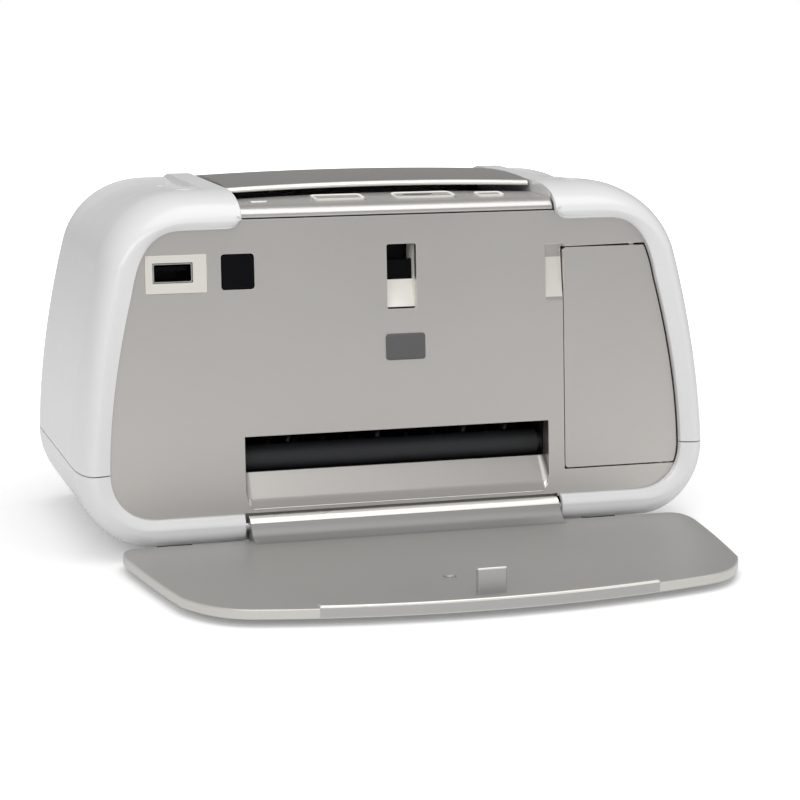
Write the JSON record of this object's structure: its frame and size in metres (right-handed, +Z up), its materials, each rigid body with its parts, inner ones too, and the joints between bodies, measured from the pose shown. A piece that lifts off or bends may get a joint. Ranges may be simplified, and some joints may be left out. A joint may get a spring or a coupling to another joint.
{
  "type": "compact photo printer",
  "caption": "Compact photo printer with a fold-down front tray, hinged top lid, side ink bay door, paper path, belt-driven ink carriage and gear-driven rollers.",
  "frame": {"origin": "centre of the outline on the table, tray open", "axes": "+X to the right seen from the front, -Y out of the front, +Z up from the table"},
  "size_m": [0.22, 0.2074, 0.1209],
  "materials": {
    "white_casing": "gloss",
    "silver_paint": "satin metallic paint",
    "dark_plastic": "fine texture",
    "grey_plastic": "fine texture",
    "black_gloss": "gloss",
    "ivory_plastic": "satin",
    "bright_trim": "bright metallic",
    "clear_lens": "gloss",
    "board": "satin",
    "steel": "brushed",
    "zinc_sheet": "brushed",
    "black_rubber": "matte",
    "felt": "felt"
  },
  "bodies": {
    "printer": {"lower_case": "white_casing", "upper_case": "white_casing", "front_panel": "silver_paint", "control_deck": "silver_paint", "lid_hinge_pins": "steel", "rear_chute": "dark_plastic", "separator_pad": "black_rubber", "tray_hinge_pins": "steel", "tray_catch": "grey_plastic", "door_hinge_pins": "steel", "status_light": "clear_lens", "button_board": "board", "usb_bezel": "ivory_plastic", "usb_host_port": "steel", "infrared_window": "black_gloss", "front_board": "board", "blank_badge": "grey_plastic", "main_board": "board", "usb_device_port": "steel", "power_inlet": "black_gloss", "chassis_plate": "zinc_sheet", "guide_rod": "steel", "paper_frame": "dark_plastic", "platen": "dark_plastic", "waste_pad": "felt", "feed_motor": "steel", "carriage_motor": "steel", "drive_belt": "black_rubber", "encoder_strip": "grey_plastic", "service_station": "dark_plastic", "rubber_feet": "black_rubber", "case_screws": "steel"},
    "tray": {"output_tray": "silver_paint"},
    "ink_bay_door": {"ink_door": "silver_paint"},
    "paper_lid": {"input_lid": "silver_paint"},
    "paper_extender": {"input_extender": "dark_plastic"},
    "paper_guide": {"width_guide": "grey_plastic"},
    "ink_carriage": {"carriage": "dark_plastic", "ink_cartridge": "black_gloss"},
    "feed_shaft": {"feed_roller": "black_rubber", "feed_gear": "ivory_plastic"},
    "middle_gear": {"idler_gear": "ivory_plastic"},
    "exit_shaft": {"exit_roller": "black_rubber", "exit_gear": "ivory_plastic"},
    "pick_shaft": {"pick_roller": "black_rubber", "pick_gear": "ivory_plastic"},
    "pick_middle_gear": {"pick_idler_gear": "ivory_plastic"},
    "motor_gear": {"feed_pinion": "ivory_plastic"},
    "pinch_shaft": {"pinch_rollers": "grey_plastic"},
    "star_shaft": {"star_wheels": "steel"},
    "motor_pulley": {"drive_pulley": "ivory_plastic"},
    "return_pulley": {"idle_pulley": "ivory_plastic"},
    "cap_sled": {"service_sled": "grey_plastic"},
    "print_key": {"print_button": "bright_trim"},
    "menu_key": {"menu_button": "bright_trim"},
    "cancel_key": {"cancel_button": "bright_trim"}
  },
  "joints": [
    {"name": "tray_hinge", "type": "hinge", "parent": "printer", "child": "tray", "pos_m": [0, -0.00465, 0.009], "axis": [1, 0, 0], "range_deg": [-93.8, 0]},
    {"name": "ink_door_hinge", "type": "hinge", "parent": "printer", "child": "ink_bay_door", "pos_m": [0.0926, -0.00069, 0.02957], "axis": [-0.1347, 0.0653, 0.9887], "range_deg": [0, 90]},
    {"name": "lid_hinge", "type": "hinge", "parent": "printer", "child": "paper_lid", "pos_m": [0, 0.08675, 0.1125], "axis": [-1, 0, 0], "range_deg": [0, 102]},
    {"name": "extender_slide", "type": "slide", "parent": "paper_lid", "child": "paper_extender", "axis": [0, -1, 0], "range_m": [0, 0.04]},
    {"name": "guide_slide", "type": "slide", "parent": "printer", "child": "paper_guide", "axis": [1, 0, 0], "range_m": [0, 0.008]},
    {"name": "carriage_slide", "type": "slide", "parent": "printer", "child": "ink_carriage", "axis": [1, 0, 0], "range_m": [-0.129, 0]},
    {"name": "motor_pulley_spin", "type": "hinge", "parent": "printer", "child": "motor_pulley", "pos_m": [-0.084, 0.05275, 0.084], "axis": [0, 1, 0], "continuous": true},
    {"name": "return_pulley_spin", "type": "hinge", "parent": "printer", "child": "return_pulley", "pos_m": [0.086, 0.05275, 0.084], "axis": [0, 1, 0], "continuous": true},
    {"name": "feed_spin", "type": "hinge", "parent": "printer", "child": "feed_shaft", "pos_m": [0, 0.05375, 0.029], "axis": [1, 0, 0], "continuous": true},
    {"name": "middle_gear_spin", "type": "hinge", "parent": "printer", "child": "middle_gear", "pos_m": [-0.0638, 0.03075, 0.02925], "axis": [1, 0, 0], "continuous": true},
    {"name": "exit_spin", "type": "hinge", "parent": "printer", "child": "exit_shaft", "pos_m": [0, 0.00875, 0.0295], "axis": [1, 0, 0], "continuous": true},
    {"name": "pick_spin", "type": "hinge", "parent": "printer", "child": "pick_shaft", "pos_m": [0, 0.06775, 0.05777], "axis": [1, 0, 0], "continuous": true},
    {"name": "pick_middle_spin", "type": "hinge", "parent": "printer", "child": "pick_middle_gear", "pos_m": [-0.0638, 0.06064, 0.04316], "axis": [1, 0, 0], "continuous": true},
    {"name": "motor_gear_spin", "type": "hinge", "parent": "printer", "child": "motor_gear", "pos_m": [-0.0638, 0.06506, 0.01769], "axis": [1, 0, 0], "continuous": true},
    {"name": "pinch_spin", "type": "hinge", "parent": "printer", "child": "pinch_shaft", "pos_m": [0, 0.05375, 0.0371], "axis": [1, 0, 0], "continuous": true},
    {"name": "star_spin", "type": "hinge", "parent": "printer", "child": "star_shaft", "pos_m": [0, 0.00875, 0.0378], "axis": [1, 0, 0], "continuous": true},
    {"name": "cap_sled_slide", "type": "slide", "parent": "printer", "child": "cap_sled", "axis": [0, 1, 0], "range_m": [0, 0.005]},
    {"name": "print_press", "type": "slide", "parent": "printer", "child": "print_key", "axis": [0, 0.0785, -0.9969], "range_m": [0, 0.0005], "stiffness_N_per_m": 600, "springref_m": -0.0003},
    {"name": "menu_press", "type": "slide", "parent": "printer", "child": "menu_key", "axis": [0, 0.0785, -0.9969], "range_m": [0, 0.0005], "stiffness_N_per_m": 600, "springref_m": -0.0003},
    {"name": "cancel_press", "type": "slide", "parent": "printer", "child": "cancel_key", "axis": [0, 0.0785, -0.9969], "range_m": [0, 0.0005], "stiffness_N_per_m": 600, "springref_m": -0.0003}
  ],
  "couplings": [
    {"joint": "motor_pulley_spin", "follows": "carriage_slide", "rad_per_m": -161.29},
    {"joint": "return_pulley_spin", "follows": "carriage_slide", "rad_per_m": -161.29},
    {"joint": "middle_gear_spin", "follows": "feed_spin", "ratio": -0.7037},
    {"joint": "exit_spin", "follows": "feed_spin", "ratio": 1.1176},
    {"joint": "pick_middle_spin", "follows": "feed_spin", "ratio": -1.52},
    {"joint": "pick_spin", "follows": "feed_spin", "ratio": 0.95},
    {"joint": "motor_gear_spin", "follows": "feed_spin", "ratio": -1.4615},
    {"joint": "pinch_spin", "follows": "feed_spin", "ratio": -1.7857},
    {"joint": "star_spin", "follows": "feed_spin", "ratio": -1.437}
  ]
}
